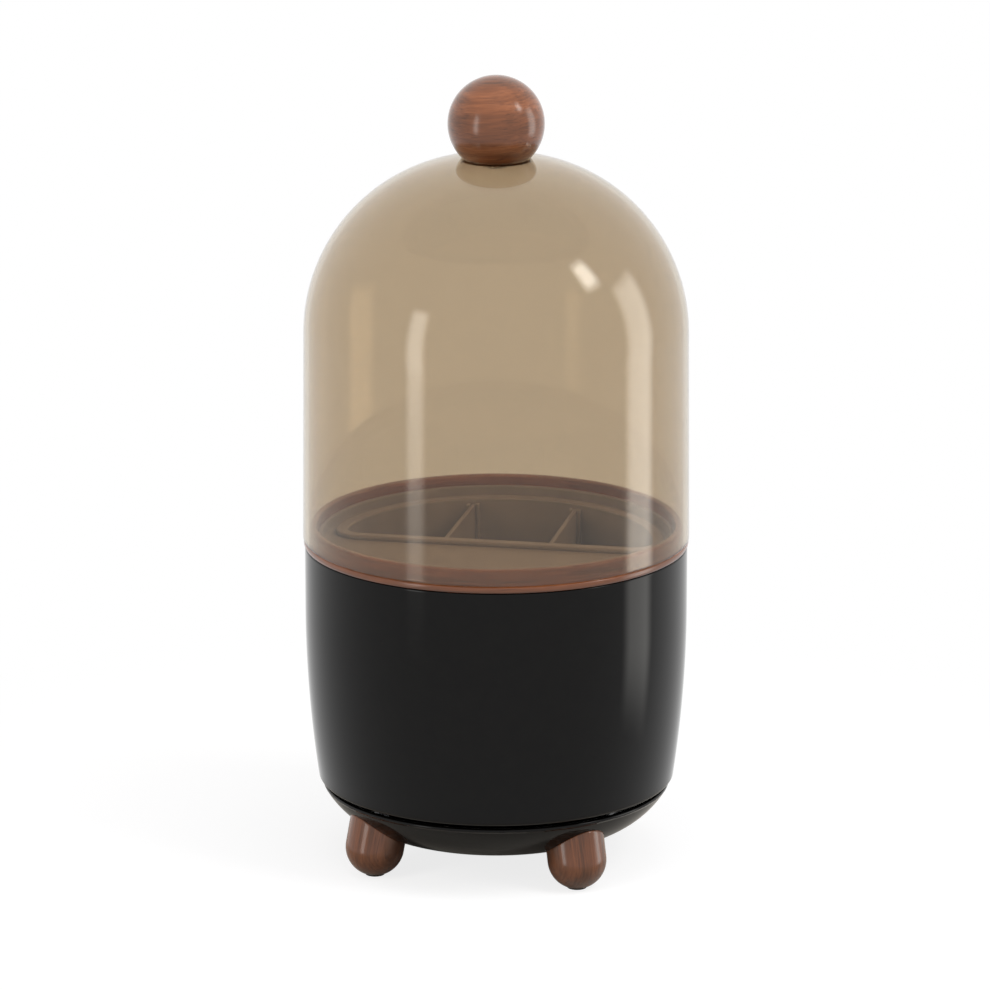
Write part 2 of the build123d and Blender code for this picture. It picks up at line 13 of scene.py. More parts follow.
import bpy
import numpy as np
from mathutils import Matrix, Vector


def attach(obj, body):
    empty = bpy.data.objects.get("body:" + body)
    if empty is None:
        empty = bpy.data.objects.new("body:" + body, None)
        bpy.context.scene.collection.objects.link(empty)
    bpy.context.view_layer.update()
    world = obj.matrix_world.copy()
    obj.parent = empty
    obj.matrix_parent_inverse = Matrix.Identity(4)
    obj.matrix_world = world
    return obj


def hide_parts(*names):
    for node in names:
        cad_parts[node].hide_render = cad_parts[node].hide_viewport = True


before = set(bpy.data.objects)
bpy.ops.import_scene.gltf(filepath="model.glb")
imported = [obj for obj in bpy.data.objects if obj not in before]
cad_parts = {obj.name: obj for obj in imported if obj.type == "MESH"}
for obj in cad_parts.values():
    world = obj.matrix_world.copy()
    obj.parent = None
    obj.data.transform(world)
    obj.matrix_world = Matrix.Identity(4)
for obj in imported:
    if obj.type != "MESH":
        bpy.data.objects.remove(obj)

LOG = logging.getLogger("brush_holder")
MM = 0.001
TURNS = 192
IMAGE_PIXELS = 990


class Body(Enum):
    """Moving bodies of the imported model."""

    BASE = "base"
    CAGE = "bearing_cage"
    TURNTABLE = "turntable"
    WELL = "well"
    DOME = "dome"


class Slot(Enum):
    """Names of the material slots."""

    WALNUT = "walnut"
    BLACK = "black_gloss"
    ACRYLIC = "tinted_acrylic"
    TAUPE = "taupe_plastic"
    STEEL = "steel"
    BRASS = "brass"
    NYLON = "nylon"
    RUBBER = "rubber"


# Colour and nodes


def linear(code: str) -> tuple[float, float, float, float]:
    """Turn an sRGB hex colour into linear RGBA.

    Args:
        code: Six hex digits, with or without a leading hash.

    Returns:
        Linear red, green, blue and an alpha of one.
    """
    digits = code.lstrip("#")
    values = np.array([int(digits[i:i + 2], 16) for i in (0, 2, 4)]) / 255.0
    low = values / 12.92
    high = ((values + 0.055) / 1.055) ** 2.4
    red, green, blue = np.where(values <= 0.04045, low, high)
    return float(red), float(green), float(blue), 1.0


def put(
    tree: bpy.types.NodeTree,
    kind: str,
    sockets: dict | None = None,
    ramp: Sequence[tuple[float, str]] = (),
    **settings,
) -> bpy.types.Node:
    """Add one node with its settings, its input values and its links.

    Args:
        tree: Node tree to add to.
        kind: Node type, without the ShaderNode prefix.
        sockets: Input name or number to a constant, or to an output socket to link.
        ramp: Stops of a colour ramp, as place and hex colour.
        settings: Properties of the node.

    Returns:
        The new node.
    """
    made = tree.nodes.new("ShaderNode" + kind)
    for key, value in settings.items():
        setattr(made, key, value)
    for key, value in (sockets or {}).items():
        if isinstance(value, bpy.types.NodeSocket):
            tree.links.new(value, made.inputs[key])
        else:
            made.inputs[key].default_value = value
    for index, (place, code) in enumerate(ramp):
        stops = made.color_ramp.elements
        stop = stops[index] if index < 2 else stops.new(place)
        stop.position = place
        stop.color = linear(code)
    return made


def blank(name: str) -> tuple[bpy.types.Material, bpy.types.NodeTree]:
    """Make a node material with an empty tree.

    Args:
        name: Name of the material.

    Returns:
        The material and its tree.
    """
    material = bpy.data.materials.new(name)
    material.use_nodes = True
    material.node_tree.nodes.clear()
    return material, material.node_tree


# Finishes


class Finish(Protocol):
    """A surface finish that makes its own material."""

    name: str

    def make(self) -> bpy.types.Material:
        """Build the node material."""


@dataclass(frozen=True)
class LacqueredWalnut:
    """Turned walnut under a satin clear lacquer.

    The eye sees a warm mid brown with slow lighter and darker figure, fine streaks along the
    grain, short dark pores, and a highlight that the grain breaks into streaks. The pattern reads
    the attribute `wood`, a place in the block that each piece was turned from, with the grain
    along its X and the growth layers stacked along its Z.
    """

    name: str = "walnut_satin_lacquer"
    light: str = "#925937"
    middle: str = "#734327"
    dark: str = "#4C2D1A"
    pore: str = "#3C2216"
    figure_mm: float = 6.0
    fibre_mm: float = 0.7           # real fibres are about 0.2 mm: drawn coarser so that they show
    fibre_length_mm: float = 18.0
    layer_depth_mm: float = 3.0
    pore_mm: float = 0.45           # real pores are about 0.2 mm: drawn coarser so that they show
    fibre_share: float = 0.42       # of the fibres in the tone, the rest is figure
    pore_share: float = 0.45        # of the pores' colour where a pore is open
    relief_mm: float = 0.06
    under_gloss: float = 0.05       # the lacquer wets the wood, which then has next to no gloss itself
    lacquer_roughness: float = 0.15

    @property
    def stretch(self) -> tuple[float, float, float]:
        """Scale that turns long fibres into round cells."""
        return self.fibre_mm / self.fibre_length_mm, self.fibre_mm / self.layer_depth_mm, 1.0

    def make(self) -> bpy.types.Material:
        """Build figure, fibres and pores along the grain, under a coat."""
        material, tree = blank(self.name)
        place = put(tree, "Attribute", attribute_name="wood").outputs["Vector"]
        drawn = put(tree, "Mapping", {"Vector": place, "Scale": self.stretch}).outputs[0]
        figure, fibres, pores = (
            put(
                tree,
                "TexNoise",
                {
                    "Vector": drawn,
                    "Scale": 1 / (MM * size),
                    "Detail": detail,
                    "Roughness": 0.6,
                    "Distortion": twist,
                },
            ).outputs["Fac"]
            for size, detail, twist in (
                (self.figure_mm, 3.0, 0.8),
                (self.fibre_mm, 4.0, 0.2),
                (self.pore_mm, 1.0, 0.0),
            )
        )
        tone = put(
            tree, "Mix", {"Factor": self.fibre_share, 2: figure, 3: fibres}, data_type="FLOAT"
        ).outputs[0]
        wood = put(
            tree,
            "ValToRGB",
            {"Fac": tone},
            ramp=((0.32, self.dark), (0.7, self.light), (0.5, self.middle)),
        ).outputs[0]
        open_pore = put(
            tree, "MapRange", {"Value": pores, "From Min": 0.6, "From Max": 0.7, "To Max": self.pore_share}
        ).outputs[0]
        colour = put(
            tree, "Mix", {"Factor": open_pore, 6: wood, 7: linear(self.pore)}, data_type="RGBA"
        ).outputs[2]
        roughness = put(
            tree, "MapRange", {"Value": fibres, "To Min": 0.28, "To Max": 0.52}
        ).outputs[0]
        relief = put(
            tree, "Bump", {"Height": fibres, "Strength": 0.7, "Distance": self.relief_mm * MM}
        ).outputs[0]
        shader = put(
            tree,
            "BsdfPrincipled",
            {
                "Base Color": colour,
                "Roughness": roughness,
                "Normal": relief,
                "IOR": 1.5,
                "Specular IOR Level": self.under_gloss,
                "Coat Weight": 1.0,
                "Coat Roughness": self.lacquer_roughness,
                "Coat IOR": 1.5,
                "Coat Normal": relief,
            },
        )
        put(tree, "OutputMaterial", {"Surface": shader.outputs[0]})
        return material


@dataclass(frozen=True)
class GlossBlackAbs:
    """Injection-moulded ABS in piano black.

    The eye sees a deep warm black with mirror-like strips of the soft boxes in it, which waver a
    little because the moulding is not perfectly flat.
    """

    name: str = "abs_piano_black"
    colour: str = "#070606"
    colour_worn: str = "#0C0B0A"
    gloss: float = 0.16         # a half is plain: lower, so that it stays black in a white studio
    wave_mm: float = 18.0       # slow waviness of the moulding
    haze_mm: float = 6.0        # patches of finger haze

    def make(self) -> bpy.types.Material:
        """Build a near-black base with slow waviness and faint haze in its gloss."""
        material, tree = blank(self.name)
        place = put(tree, "TexCoord").outputs["Object"]
        haze = put(
            tree,
            "TexNoise",
            {"Vector": place, "Scale": 1 / (MM * self.haze_mm), "Detail": 5.0, "Roughness": 0.65},
        ).outputs["Fac"]
        wave = put(
            tree, "TexNoise", {"Vector": place, "Scale": 1 / (MM * self.wave_mm), "Detail": 0.0}
        ).outputs["Fac"]
        colour = put(
            tree,
            "ValToRGB",
            {"Fac": haze},
            ramp=((0.35, self.colour), (0.75, self.colour_worn)),
        ).outputs[0]
        roughness = put(
            tree,
            "MapRange",
            {"Value": haze, "From Min": 0.3, "From Max": 0.8, "To Min": 0.03, "To Max": 0.08},
        ).outputs[0]
        relief = put(tree, "Bump", {"Height": wave, "Strength": 0.2, "Distance": 0.05 * MM}).outputs[0]
        shader = put(
            tree,
            "BsdfPrincipled",
            {
                "Base Color": colour,
                "Roughness": roughness,
                "Normal": relief,
                "IOR": 1.5,
                "Specular IOR Level": self.gloss,
            },
        )
        put(tree, "OutputMaterial", {"Surface": shader.outputs[0]})
        return material


@dataclass(frozen=True)
class TintedAcrylic:
    """Cast acrylic with a tea-coloured tint.

    The eye sees a clear warm beige glass with mirrored soft boxes and thin light and dark lines
    along its edges. The tint is mostly in the skin, and a little in the depth of the wall.
    Lamps shine through it, tinted, by its shadow-ray branch.
    """

    name: str = "acrylic_tea_tint"
    skin: str = "#D4C8B5"
    depth: str = "#CFAC55"      # colour that is left over a long way through the wall
    density: float = 42.0       # per metre
    lamp_tint: str = "#FBF8F3"
    flow_mm: float = 26.0       # slow flow marks of the casting

    def make(self) -> bpy.types.Material:
        """Build a clear tinted dielectric that lets lamps through."""
        material, tree = blank(self.name)
        place = put(tree, "TexCoord").outputs["Object"]
        flow = put(
            tree, "TexNoise", {"Vector": place, "Scale": 1 / (MM * self.flow_mm), "Detail": 1.0}
        ).outputs["Fac"]
        relief = put(tree, "Bump", {"Height": flow, "Strength": 0.1, "Distance": 0.03 * MM}).outputs[0]
        roughness = put(tree, "MapRange", {"Value": flow, "To Min": 0.0, "To Max": 0.02}).outputs[0]
        glass = put(
            tree,
            "BsdfPrincipled",
            {
                "Base Color": linear(self.skin),
                "Roughness": roughness,
                "Normal": relief,
                "IOR": 1.49,
                "Transmission Weight": 1.0,
            },
        ).outputs[0]
        lamp_way = put(tree, "BsdfTransparent", {"Color": linear(self.lamp_tint)}).outputs[0]
        shadow_ray = put(tree, "LightPath").outputs["Is Shadow Ray"]
        skin = put(tree, "MixShader", {0: shadow_ray, 1: glass, 2: lamp_way}).outputs[0]
        wall = put(
            tree, "VolumeAbsorption", {"Color": linear(self.depth), "Density": self.density}
        ).outputs[0]
        put(tree, "OutputMaterial", {"Surface": skin, "Volume": wall})
        return material


@dataclass(frozen=True)
class MouldedPlastic:
    """Moulded polypropylene or nylon with a fine spark-eroded texture.

    The eye sees an even satin colour with a faint grain that softens its highlights.
    """

    name: str
    colour: str
    colour_shade: str
    roughness: float = 0.45
    grain_mm: float = 0.7       # real spark texture is about 0.2 mm: drawn coarser so that it shows
    mottle_mm: float = 14.0

    def make(self) -> bpy.types.Material:
        """Build a satin base with a fine grain and slow mottling."""
        material, tree = blank(self.name)
        place = put(tree, "TexCoord").outputs["Object"]
        grain = put(
            tree, "TexNoise", {"Vector": place, "Scale": 1 / (MM * self.grain_mm), "Detail": 2.0}
        ).outputs["Fac"]
        mottle = put(
            tree, "TexNoise", {"Vector": place, "Scale": 1 / (MM * self.mottle_mm), "Detail": 3.0}
        ).outputs["Fac"]
        colour = put(
            tree,
            "ValToRGB",
            {"Fac": mottle},
            ramp=((0.3, self.colour_shade), (0.7, self.colour)),
        ).outputs[0]
        roughness = put(
            tree,
            "MapRange",
            {"Value": grain, "To Min": self.roughness - 0.08, "To Max": self.roughness + 0.08},
        ).outputs[0]
        relief = put(tree, "Bump", {"Height": grain, "Strength": 0.25, "Distance": 0.04 * MM}).outputs[0]
        shader = put(
            tree,
            "BsdfPrincipled",
            {"Base Color": colour, "Roughness": roughness, "Normal": relief, "IOR": 1.49},
        )
        put(tree, "OutputMaterial", {"Surface": shader.outputs[0]})
        return material


@dataclass(frozen=True)
class TurnedMetal:
    """Bare or plated metal turned on a lathe.

    The eye sees fine rings round the upright axis in a soft metallic sheen.
    """

    name: str
    colour: str
    colour_shade: str
    roughness: float = 0.28
    groove_mm: float = 0.35     # tool marks are about 0.1 mm: drawn coarser so that they show

    def make(self) -> bpy.types.Material:
        """Build a metal with tool marks in its roughness and relief."""
        material, tree = blank(self.name)
        place = put(tree, "TexCoord").outputs["Object"]
        marks = put(
            tree,
            "TexWave",
            {
                "Vector": place,
                "Scale": math.tau / 20 / (MM * self.groove_mm),
                "Distortion": 1.5,
                "Detail": 2.0,
            },
            wave_type="RINGS",
            rings_direction="Z",
        ).outputs["Fac"]
        colour = put(
            tree, "ValToRGB", {"Fac": marks}, ramp=((0.0, self.colour_shade), (1.0, self.colour))
        ).outputs[0]
        roughness = put(
            tree,
            "MapRange",
            {"Value": marks, "To Min": self.roughness - 0.06, "To Max": self.roughness + 0.06},
        ).outputs[0]
        relief = put(tree, "Bump", {"Height": marks, "Strength": 0.15, "Distance": 0.02 * MM}).outputs[0]
        shader = put(
            tree,
            "BsdfPrincipled",
            {"Base Color": colour, "Metallic": 1.0, "Roughness": roughness, "Normal": relief},
        )
        put(tree, "OutputMaterial", {"Surface": shader.outputs[0]})
        return material


def material_of(finish: Finish) -> bpy.types.Material:
    """Material of a finish, made on its first use."""
    return bpy.data.materials.get(finish.name) or finish.make()


WALNUT = LacqueredWalnut()
BLACK = GlossBlackAbs()
ACRYLIC = TintedAcrylic()
TAUPE = MouldedPlastic("polypropylene_taupe", "#7A6A5D", "#6E5F53")
NYLON = MouldedPlastic("nylon_natural", "#D9D2C1", "#CFC7B4", roughness=0.4)
RUBBER = MouldedPlastic("rubber_black", "#1D1B1A", "#161514", roughness=0.75, grain_mm=0.5)
STEEL = TurnedMetal("steel_zinc_plated", "#C6C7C8", "#B2B3B5")
BRASS = TurnedMetal("brass_turned", "#D8B36A", "#C49C54", roughness=0.24)


# Surfaces


@dataclass(frozen=True)
class Patch:
    """Points and faces of a surface, before they go into a mesh."""

    points: np.ndarray
    quads: np.ndarray
    tris: np.ndarray

    @staticmethod
    def ring(rows: np.ndarray) -> "Patch":
        """Close a grid both ways, as on a torus.

        Args:
            rows: Points by row, column and axis. A row runs once round, and the rows follow the
                section with the outside going up.

        Returns:
            A closed patch whose faces point outwards.
        """
        count, turns = rows.shape[:2]
        row = np.arange(count)[:, None]
        column = np.arange(turns)[None, :]
        next_row = (row + 1) % count
        next_column = (column + 1) % turns
        quads = np.stack(
            [
                row * turns + column,
                row * turns + next_column,
                next_row * turns + next_column,
                next_row * turns + column,
            ],
            axis=-1,
        ).reshape(-1, 4)
        return Patch(rows.reshape(-1, 3), quads, np.empty((0, 3), int))

    @staticmethod
    def capped(rows: np.ndarray, low: Sequence[float], high: Sequence[float]) -> "Patch":
        """Close a grid round each row, and each end with a fan to one point.

        Args:
            rows: Points by row, column and axis, from the low end to the high end.
            low: Point that closes the first row.
            high: Point that closes the last row.

        Returns:
            A closed patch whose faces point outwards.
        """
        count, turns = rows.shape[:2]
        open_quads = Patch.ring(rows).quads[: (count - 1) * turns]
        column = np.arange(turns)
        after = (column + 1) % turns
        last = (count - 1) * turns
        foot = np.full(turns, count * turns)
        tris = np.concatenate(
            [
                np.stack([foot, after, column], axis=-1),
                np.stack([foot + 1, last + column, last + after], axis=-1),
            ]
        )
        points = np.concatenate([rows.reshape(-1, 3), [low], [high]])
        return Patch(points, open_quads, tris)

    def moved(self, shift: Sequence[float]) -> "Patch":
        """The same patch in another place."""
        return Patch(self.points + np.asarray(shift), self.quads, self.tris)


def join(patches: Sequence[Patch]) -> Patch:
    """Put several patches into one."""
    starts = np.cumsum([0] + [len(patch.points) for patch in patches[:-1]])
    return Patch(
        np.concatenate([patch.points for patch in patches]),
        np.concatenate([patch.quads + start for patch, start in zip(patches, starts)]),
        np.concatenate([patch.tris + start for patch, start in zip(patches, starts)]),
    )


def arc(centre: Sequence[float], radius: float, start: float, end: float, count: int) -> np.ndarray:
    """Points of a circular arc: centre + radius (cos a, sin a), with `a` from start to end."""
    angle = np.radians(np.linspace(start, end, count))
    return np.asarray(centre) + radius * np.stack([np.cos(angle), np.sin(angle)], axis=-1)


def corner(
    before: Sequence[float],
    at: Sequence[float],
    after: Sequence[float],
    radius: float,
    steps: int = 6,
    guard: float = 0.2,
) -> np.ndarray:
    """Round one corner of an outline.

    With unit directions u and v from the corner to its neighbours and h half the angle between
    them, the arc touches each side radius / tan h from the corner, and its centre lies
    radius / sin h along u + v. A guard point on each side keeps the shading of the sides flat.

    Args:
        before: A point on the side that leads to the corner.
        at: The corner.
        after: A point on the side that leaves it.
        radius: Radius of the arc.
        steps: Points on the arc.
        guard: Distance of each guard point from the arc's end.

    Returns:
        The guard, the arc's points and the other guard.
    """
    at = np.asarray(at, float)
    u = np.asarray(before, float) - at
    v = np.asarray(after, float) - at
    u /= np.linalg.norm(u)
    v /= np.linalg.norm(v)
    half = math.acos(np.clip(u @ v, -1, 1)) / 2
    reach = radius / math.tan(half)
    middle = (u + v) / np.linalg.norm(u + v)
    centre = at + middle * radius / math.sin(half)
    first = at + u * reach - centre
    last = at + v * reach - centre
    sweep = math.pi - 2 * half
    share = np.linspace(0, 1, steps)[:, None]
    curve = (np.sin((1 - share) * sweep) * first + np.sin(share * sweep) * last) / math.sin(sweep)
    ends = at + u * (reach + guard), at + v * (reach + guard)
    return np.vstack([ends[0], centre + curve, ends[1]])


def chain(
    first: Sequence[float],
    corners: Sequence[tuple[float, float, float]],
    last: Sequence[float],
    **settings,
) -> np.ndarray:
    """Open outline with every corner rounded.

    Args:
        first: A point on the side that leads to the first corner.
        corners: Two places and the round of each corner.
        last: A point on the side that leaves the last corner.
        settings: Steps or guard of every corner.

    Returns:
        Points of the outline, without the first and the last.
    """
    spots = [first, *(spot[:2] for spot in corners), last]
    sides = zip(spots, spots[1:], spots[2:], (spot[2] for spot in corners))
    return np.vstack([corner(*side, **settings) for side in sides])


def rounded(corners: Sequence[tuple[float, float, float]], **settings) -> np.ndarray:
    """Closed outline with every corner rounded, each given as its two places and its round."""
    return chain(corners[-1][:2], corners, corners[0][:2], **settings)


def lifted(plan: np.ndarray, height: float) -> np.ndarray:
    """Points of a plan at one height."""
    return np.insert(plan, 2, height, axis=1)


def turned(outline: np.ndarray, turns: int = TURNS) -> np.ndarray:
    """Carry an outline of radius and height round the axis.

    The point at outline place i and angle t is (r_i cos t, r_i sin t, z_i).

    Args:
        outline: Radius and height of each point.
        turns: Steps round the axis.

    Returns:
        Points by outline place, step and axis.
    """
    angle = np.linspace(0, math.tau, turns, endpoint=False)
    radius = outline[:, :1]
    height = np.broadcast_to(outline[:, 1:], (len(outline), turns))
    return np.stack([radius * np.cos(angle), radius * np.sin(angle), height], axis=-1)


def make_piece(name: str, patch: Patch, wood: np.ndarray | None = None) -> bpy.types.Object:
    """Put a patch into a smooth mesh object at the origin.

    Args:
        name: Name of the object and its mesh.
        patch: Points in millimetres, and faces.
        wood: Place of each point in its wooden block, in millimetres, with the grain along X.

    Returns:
        The object, linked to the scene.
    """
    mesh = bpy.data.meshes.new(name)
    corners = np.concatenate([patch.quads.ravel(), patch.tris.ravel()]).astype(np.int32)
    sides = np.concatenate([np.full(len(patch.quads), 4), np.full(len(patch.tris), 3)])
    starts = np.concatenate([[0], np.cumsum(sides)[:-1]]).astype(np.int32)
    mesh.vertices.add(len(patch.points))
    mesh.vertices.foreach_set("co", (patch.points * MM).astype(np.float32).ravel())
    mesh.loops.add(len(corners))
    mesh.loops.foreach_set("vertex_index", corners)
    mesh.polygons.add(len(sides))
    mesh.polygons.foreach_set("loop_start", starts)
    mesh.polygons.foreach_set("use_smooth", np.ones(len(sides), bool))
    mesh.update(calc_edges=True)
    if wood is not None:
        layer = mesh.attributes.new("wood", "FLOAT_VECTOR", "POINT")
        layer.data.foreach_set("vector", (wood * MM).astype(np.float32).ravel())
    piece = bpy.data.objects.new(name, mesh)
    bpy.context.scene.collection.objects.link(piece)
    return piece


def settle(piece: bpy.types.Object, body: Body, finish: Finish, nodes: Sequence[str]) -> None:
    """Give a piece its finish and tie it to the frame.

    Args:
        piece: The new piece.
        body: Body that it moves with.
        finish: Its finish.
        nodes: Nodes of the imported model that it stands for.
    """
    piece.data.materials.append(material_of(finish))
    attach(piece, body.value)
    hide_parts(*nodes)
    LOG.info("%s: %d faces, %s, on %s", piece.name, len(piece.data.polygons), finish.name, body.value)


# Sub-assemblies


@dataclass
class Dome:
    """Clear dome: slightly leaning wall, one shoulder arc, a flat for the knob."""

    foot_radius: float = 75.7
    seat: float = 129.3
    straight: float = 82.4
    draw_in: float = 0.8
    shoulder_offset: float = 5.4
    land_radius: float = 13.616
    wall: float = 2.1
    edge_round: float = 0.6
    screw_hole: float = 1.9
    hole_round: float = 0.3

    def side(self, inward: float) -> tuple[np.ndarray, float]:
        """Skin from above the foot to the flat.

        The wall leans by atan(draw_in / straight). The shoulder is an arc that starts along it,
        with its centre `shoulder_offset` from the axis, and ends at the flat.

        Args:
            inward: How far the skin lies inside the outer one.

        Returns:
            Points of radius and height, and the height of the flat.
        """
        lean = math.atan2(self.draw_in, self.straight)
        top_radius = self.foot_radius - self.draw_in
        curve = (top_radius - self.shoulder_offset) / math.cos(lean)
        centre_z = self.seat + self.straight - curve * math.sin(lean)
        land = centre_z + math.sqrt(curve**2 - (self.land_radius - self.shoulder_offset) ** 2) - inward
        radius = curve - inward
        end = math.degrees(math.asin((land - centre_z) / radius))
        shoulder = arc((self.shoulder_offset, centre_z), radius, math.degrees(lean), end, 72)
        share = np.linspace(0.04, 0.96, 12)[:, None]
        foot = np.array([self.foot_radius - inward * math.cos(lean), self.seat])
        return np.vstack([foot + share * (shoulder[0] - foot), shoulder]), land

    def build(self) -> None:
        """Make the closed shell and dress it."""
        outer, land = self.side(0)
        inner, inner_land = self.side(self.wall)
        foot_outer = (self.foot_radius, self.seat)
        foot_inner = (inner[0][0] + 0.02, self.seat)     # the leaning wall a little lower down
        hole = [(self.screw_hole, level, self.hole_round) for level in (land, inner_land)]
        outline = np.vstack(
            [
                corner(foot_inner, foot_outer, outer[0], self.edge_round),
                outer,
                [(self.land_radius - 0.3, land)],
                chain((self.land_radius, land), hole, (self.land_radius, inner_land)),
                [(self.land_radius - 0.5, inner_land)],
                inner[::-1],
                corner(inner[0], foot_inner, foot_outer, self.edge_round),
            ]
        )
        piece = make_piece("tinted_dome", Patch.ring(turned(outline)))
        settle(piece, Body.DOME, ACRYLIC, ["dome_cover"])


@dataclass
class Knob:
    """Turned ball, flat below, bored for its insert."""

    radius: float = 18.75
    flat_depth: float = 5.45
    land: float = 280.041
    bore: float = 3.3
    bore_depth: float = 11.0
    bore_round: float = 0.3
    edge_round: float = 0.5
    askew: float = 4.0
    heart: tuple[float, float, float] = (0, 34.0, -21.0)    # place of its centre in the block

    def build(self) -> None:
        """Make the ball and dress it, its grain lying level and a little askew."""
        centre = self.land + self.radius - self.flat_depth
        low = -math.degrees(math.asin((self.radius - self.flat_depth) / self.radius))
        skin = arc((0, centre), self.radius, low + 2.5, 89.2, 64)
        edge = arc((0, centre), self.radius, low, low, 1)[0]
        roof = self.land + self.bore_depth
        outline = np.vstack(
            [
                chain(
                    (0, roof),
                    [
                        (self.bore, roof, self.bore_round),
                        (self.bore, self.land, self.bore_round),
                        (*edge, self.edge_round),
                    ],
                    skin[0],
                ),
                skin,
            ]
        )
        patch = Patch.capped(turned(outline, 128), (0, 0, roof), (0, 0, centre + self.radius))
        cos, sin = math.cos(math.radians(self.askew)), math.sin(math.radians(self.askew))
        turn = np.array([[cos, 0, sin], [0, 1, 0], [-sin, 0, cos]])
        wood = (patch.points - (0, 0, centre)) @ turn.T + self.heart
        piece = make_piece("walnut_ball_knob", patch, wood)
        settle(piece, Body.DOME, WALNUT, ["knob_ball"])


@dataclass
class RimRing:
    """Turned ring: flange on the body, collar inside the dome, spigot and ledge below."""

    flange_radius: float = 75.4
    flange_low: float = 126.4
    flange_high: float = 129.3
    flange_round: float = 1.1
    collar_radius: float = 73.25
    collar_top: float = 135.5
    collar_round: float = 0.9
    bore: float = 70.15
    spigot_radius: float = 72.25
    ledge_top: float = 124.2
    ledge_low: float = 122.2
    ledge_radius: float = 66.95
    figure_slope: float = 0.4   # how far the layers lie out of level
    figure_shift: float = 7.0   # which layers show

    def build(self) -> None:
        """Make the ring and dress it, its grain running round it.

        A point at angle t lies at (a cos t, b sin t) in its block, with a and b such that the
        finish's stretch makes both of them radius / fibre stretch: so the grain closes on itself.
        """
        outline = rounded(
            [
                (self.spigot_radius, self.ledge_low, 0.3),
                (self.spigot_radius, self.flange_low, 0.15),
                (self.flange_radius, self.flange_low, self.flange_round),
                (self.flange_radius, self.flange_high, self.flange_round),
                (self.collar_radius, self.flange_high, 0.25),
                (self.collar_radius, self.collar_top, self.collar_round),
                (self.bore, self.collar_top, self.collar_round),
                (self.bore, self.ledge_top, 0.2),
                (self.ledge_radius, self.ledge_top, 0.3),
                (self.ledge_radius, self.ledge_low, 0.3),
            ]
        )
        patch = Patch.ring(turned(outline))
        angle = np.arctan2(patch.points[:, 1], patch.points[:, 0])
        along, deep, _ = WALNUT.stretch
        radius = np.hypot(patch.points[:, 0], patch.points[:, 1])
        across = self.figure_slope * radius + patch.points[:, 2] + self.figure_shift
        wood = np.stack(
            [self.bore * np.cos(angle), self.bore * along / deep * np.sin(angle), across], axis=-1
        )
        piece = make_piece("walnut_rim_ring", patch, wood)
        settle(piece, Body.TURNTABLE, WALNUT, ["rim_ring"])


@dataclass(frozen=True)
class WellPlan:
    """Plan of the brush well: a rounded D with its straight side in front."""

    radius: float = 63.0
    front: float = 4.0
    corner: float = 9.0
    middle: tuple[float, float] = (0.0, 25.0)

    def row(self, grow: float) -> np.ndarray:
        """Outline of the plan, grown outwards.

        The corner circles touch the front line and, from inside, the large circle, so their
        centres lie at (x, corner - front) with x^2 = (radius - corner)^2 - (corner - front)^2.

        Args:
            grow: How far outside the plan the outline runs.

        Returns:
            Points of x and y, counter-clockwise, as many for every growth.
        """
        y = self.corner - self.front
        x = math.sqrt((self.radius - self.corner) ** 2 - y**2)
        tilt = math.degrees(math.atan2(y, x))
        bend = self.corner + grow
        share = np.linspace(0, 1, 26)[1:-1, None]
        start = np.array([-x, -self.front - grow])
        return np.vstack(
            [
                arc((x, y), bend, -90, tilt, 20),
                arc((0, 0), self.radius + grow, tilt, 180 - tilt, 120)[1:],
                arc((-x, y), bend, 180 - tilt, 270, 20)[1:],
                start + share * (2 * x, 0),
            ]
        )

    def rows(self, profile: np.ndarray) -> np.ndarray:
        """Carry a profile of growth and height round the plan."""
        return np.stack([lifted(self.row(grow), height) for grow, height in profile])

    def depth(self, x: float, grow: float) -> float:
        """Y of the grown plan's rear side at an x."""
        return math.sqrt((self.radius + grow) ** 2 - x**2)


def upright_slab(
    sides: tuple[float, float],
    front: float,
    backs: tuple[float, float],
    heights: tuple[float, float],
    edge: float,
) -> Patch:
    """An upright slab with rounded upright edges and a rounded top.

    Each row is the slab's rectangle at one height, drawn in near the top as a quarter round does.

    Args:
        sides: Its left and right x.
        front: Its front y.
        backs: Its rear y at the left and at the right.
        heights: Its lower and upper z.
        edge: Round of its edges.

    Returns:
        A closed patch.
    """
    turn = np.radians(np.linspace(0, 90, 5))
    insets = np.concatenate([[0.0], edge * (1 - np.cos(turn))])
    levels = np.concatenate([[heights[0]], heights[1] - edge + edge * np.sin(turn)])
    plans = [
        rounded(
            [
                (sides[0] + inset, front + inset, edge),
                (sides[1] - inset, front + inset, edge),
                (sides[1] - inset, backs[1] - inset, edge),
                (sides[0] + inset, backs[0] - inset, edge),
            ],
            guard=0.02,
        )
        for inset in insets
    ]
    rows = np.stack([lifted(plan, level) for plan, level in zip(plans, levels)])
    return Patch.capped(rows, rows[0].mean(axis=0), rows[-1].mean(axis=0))


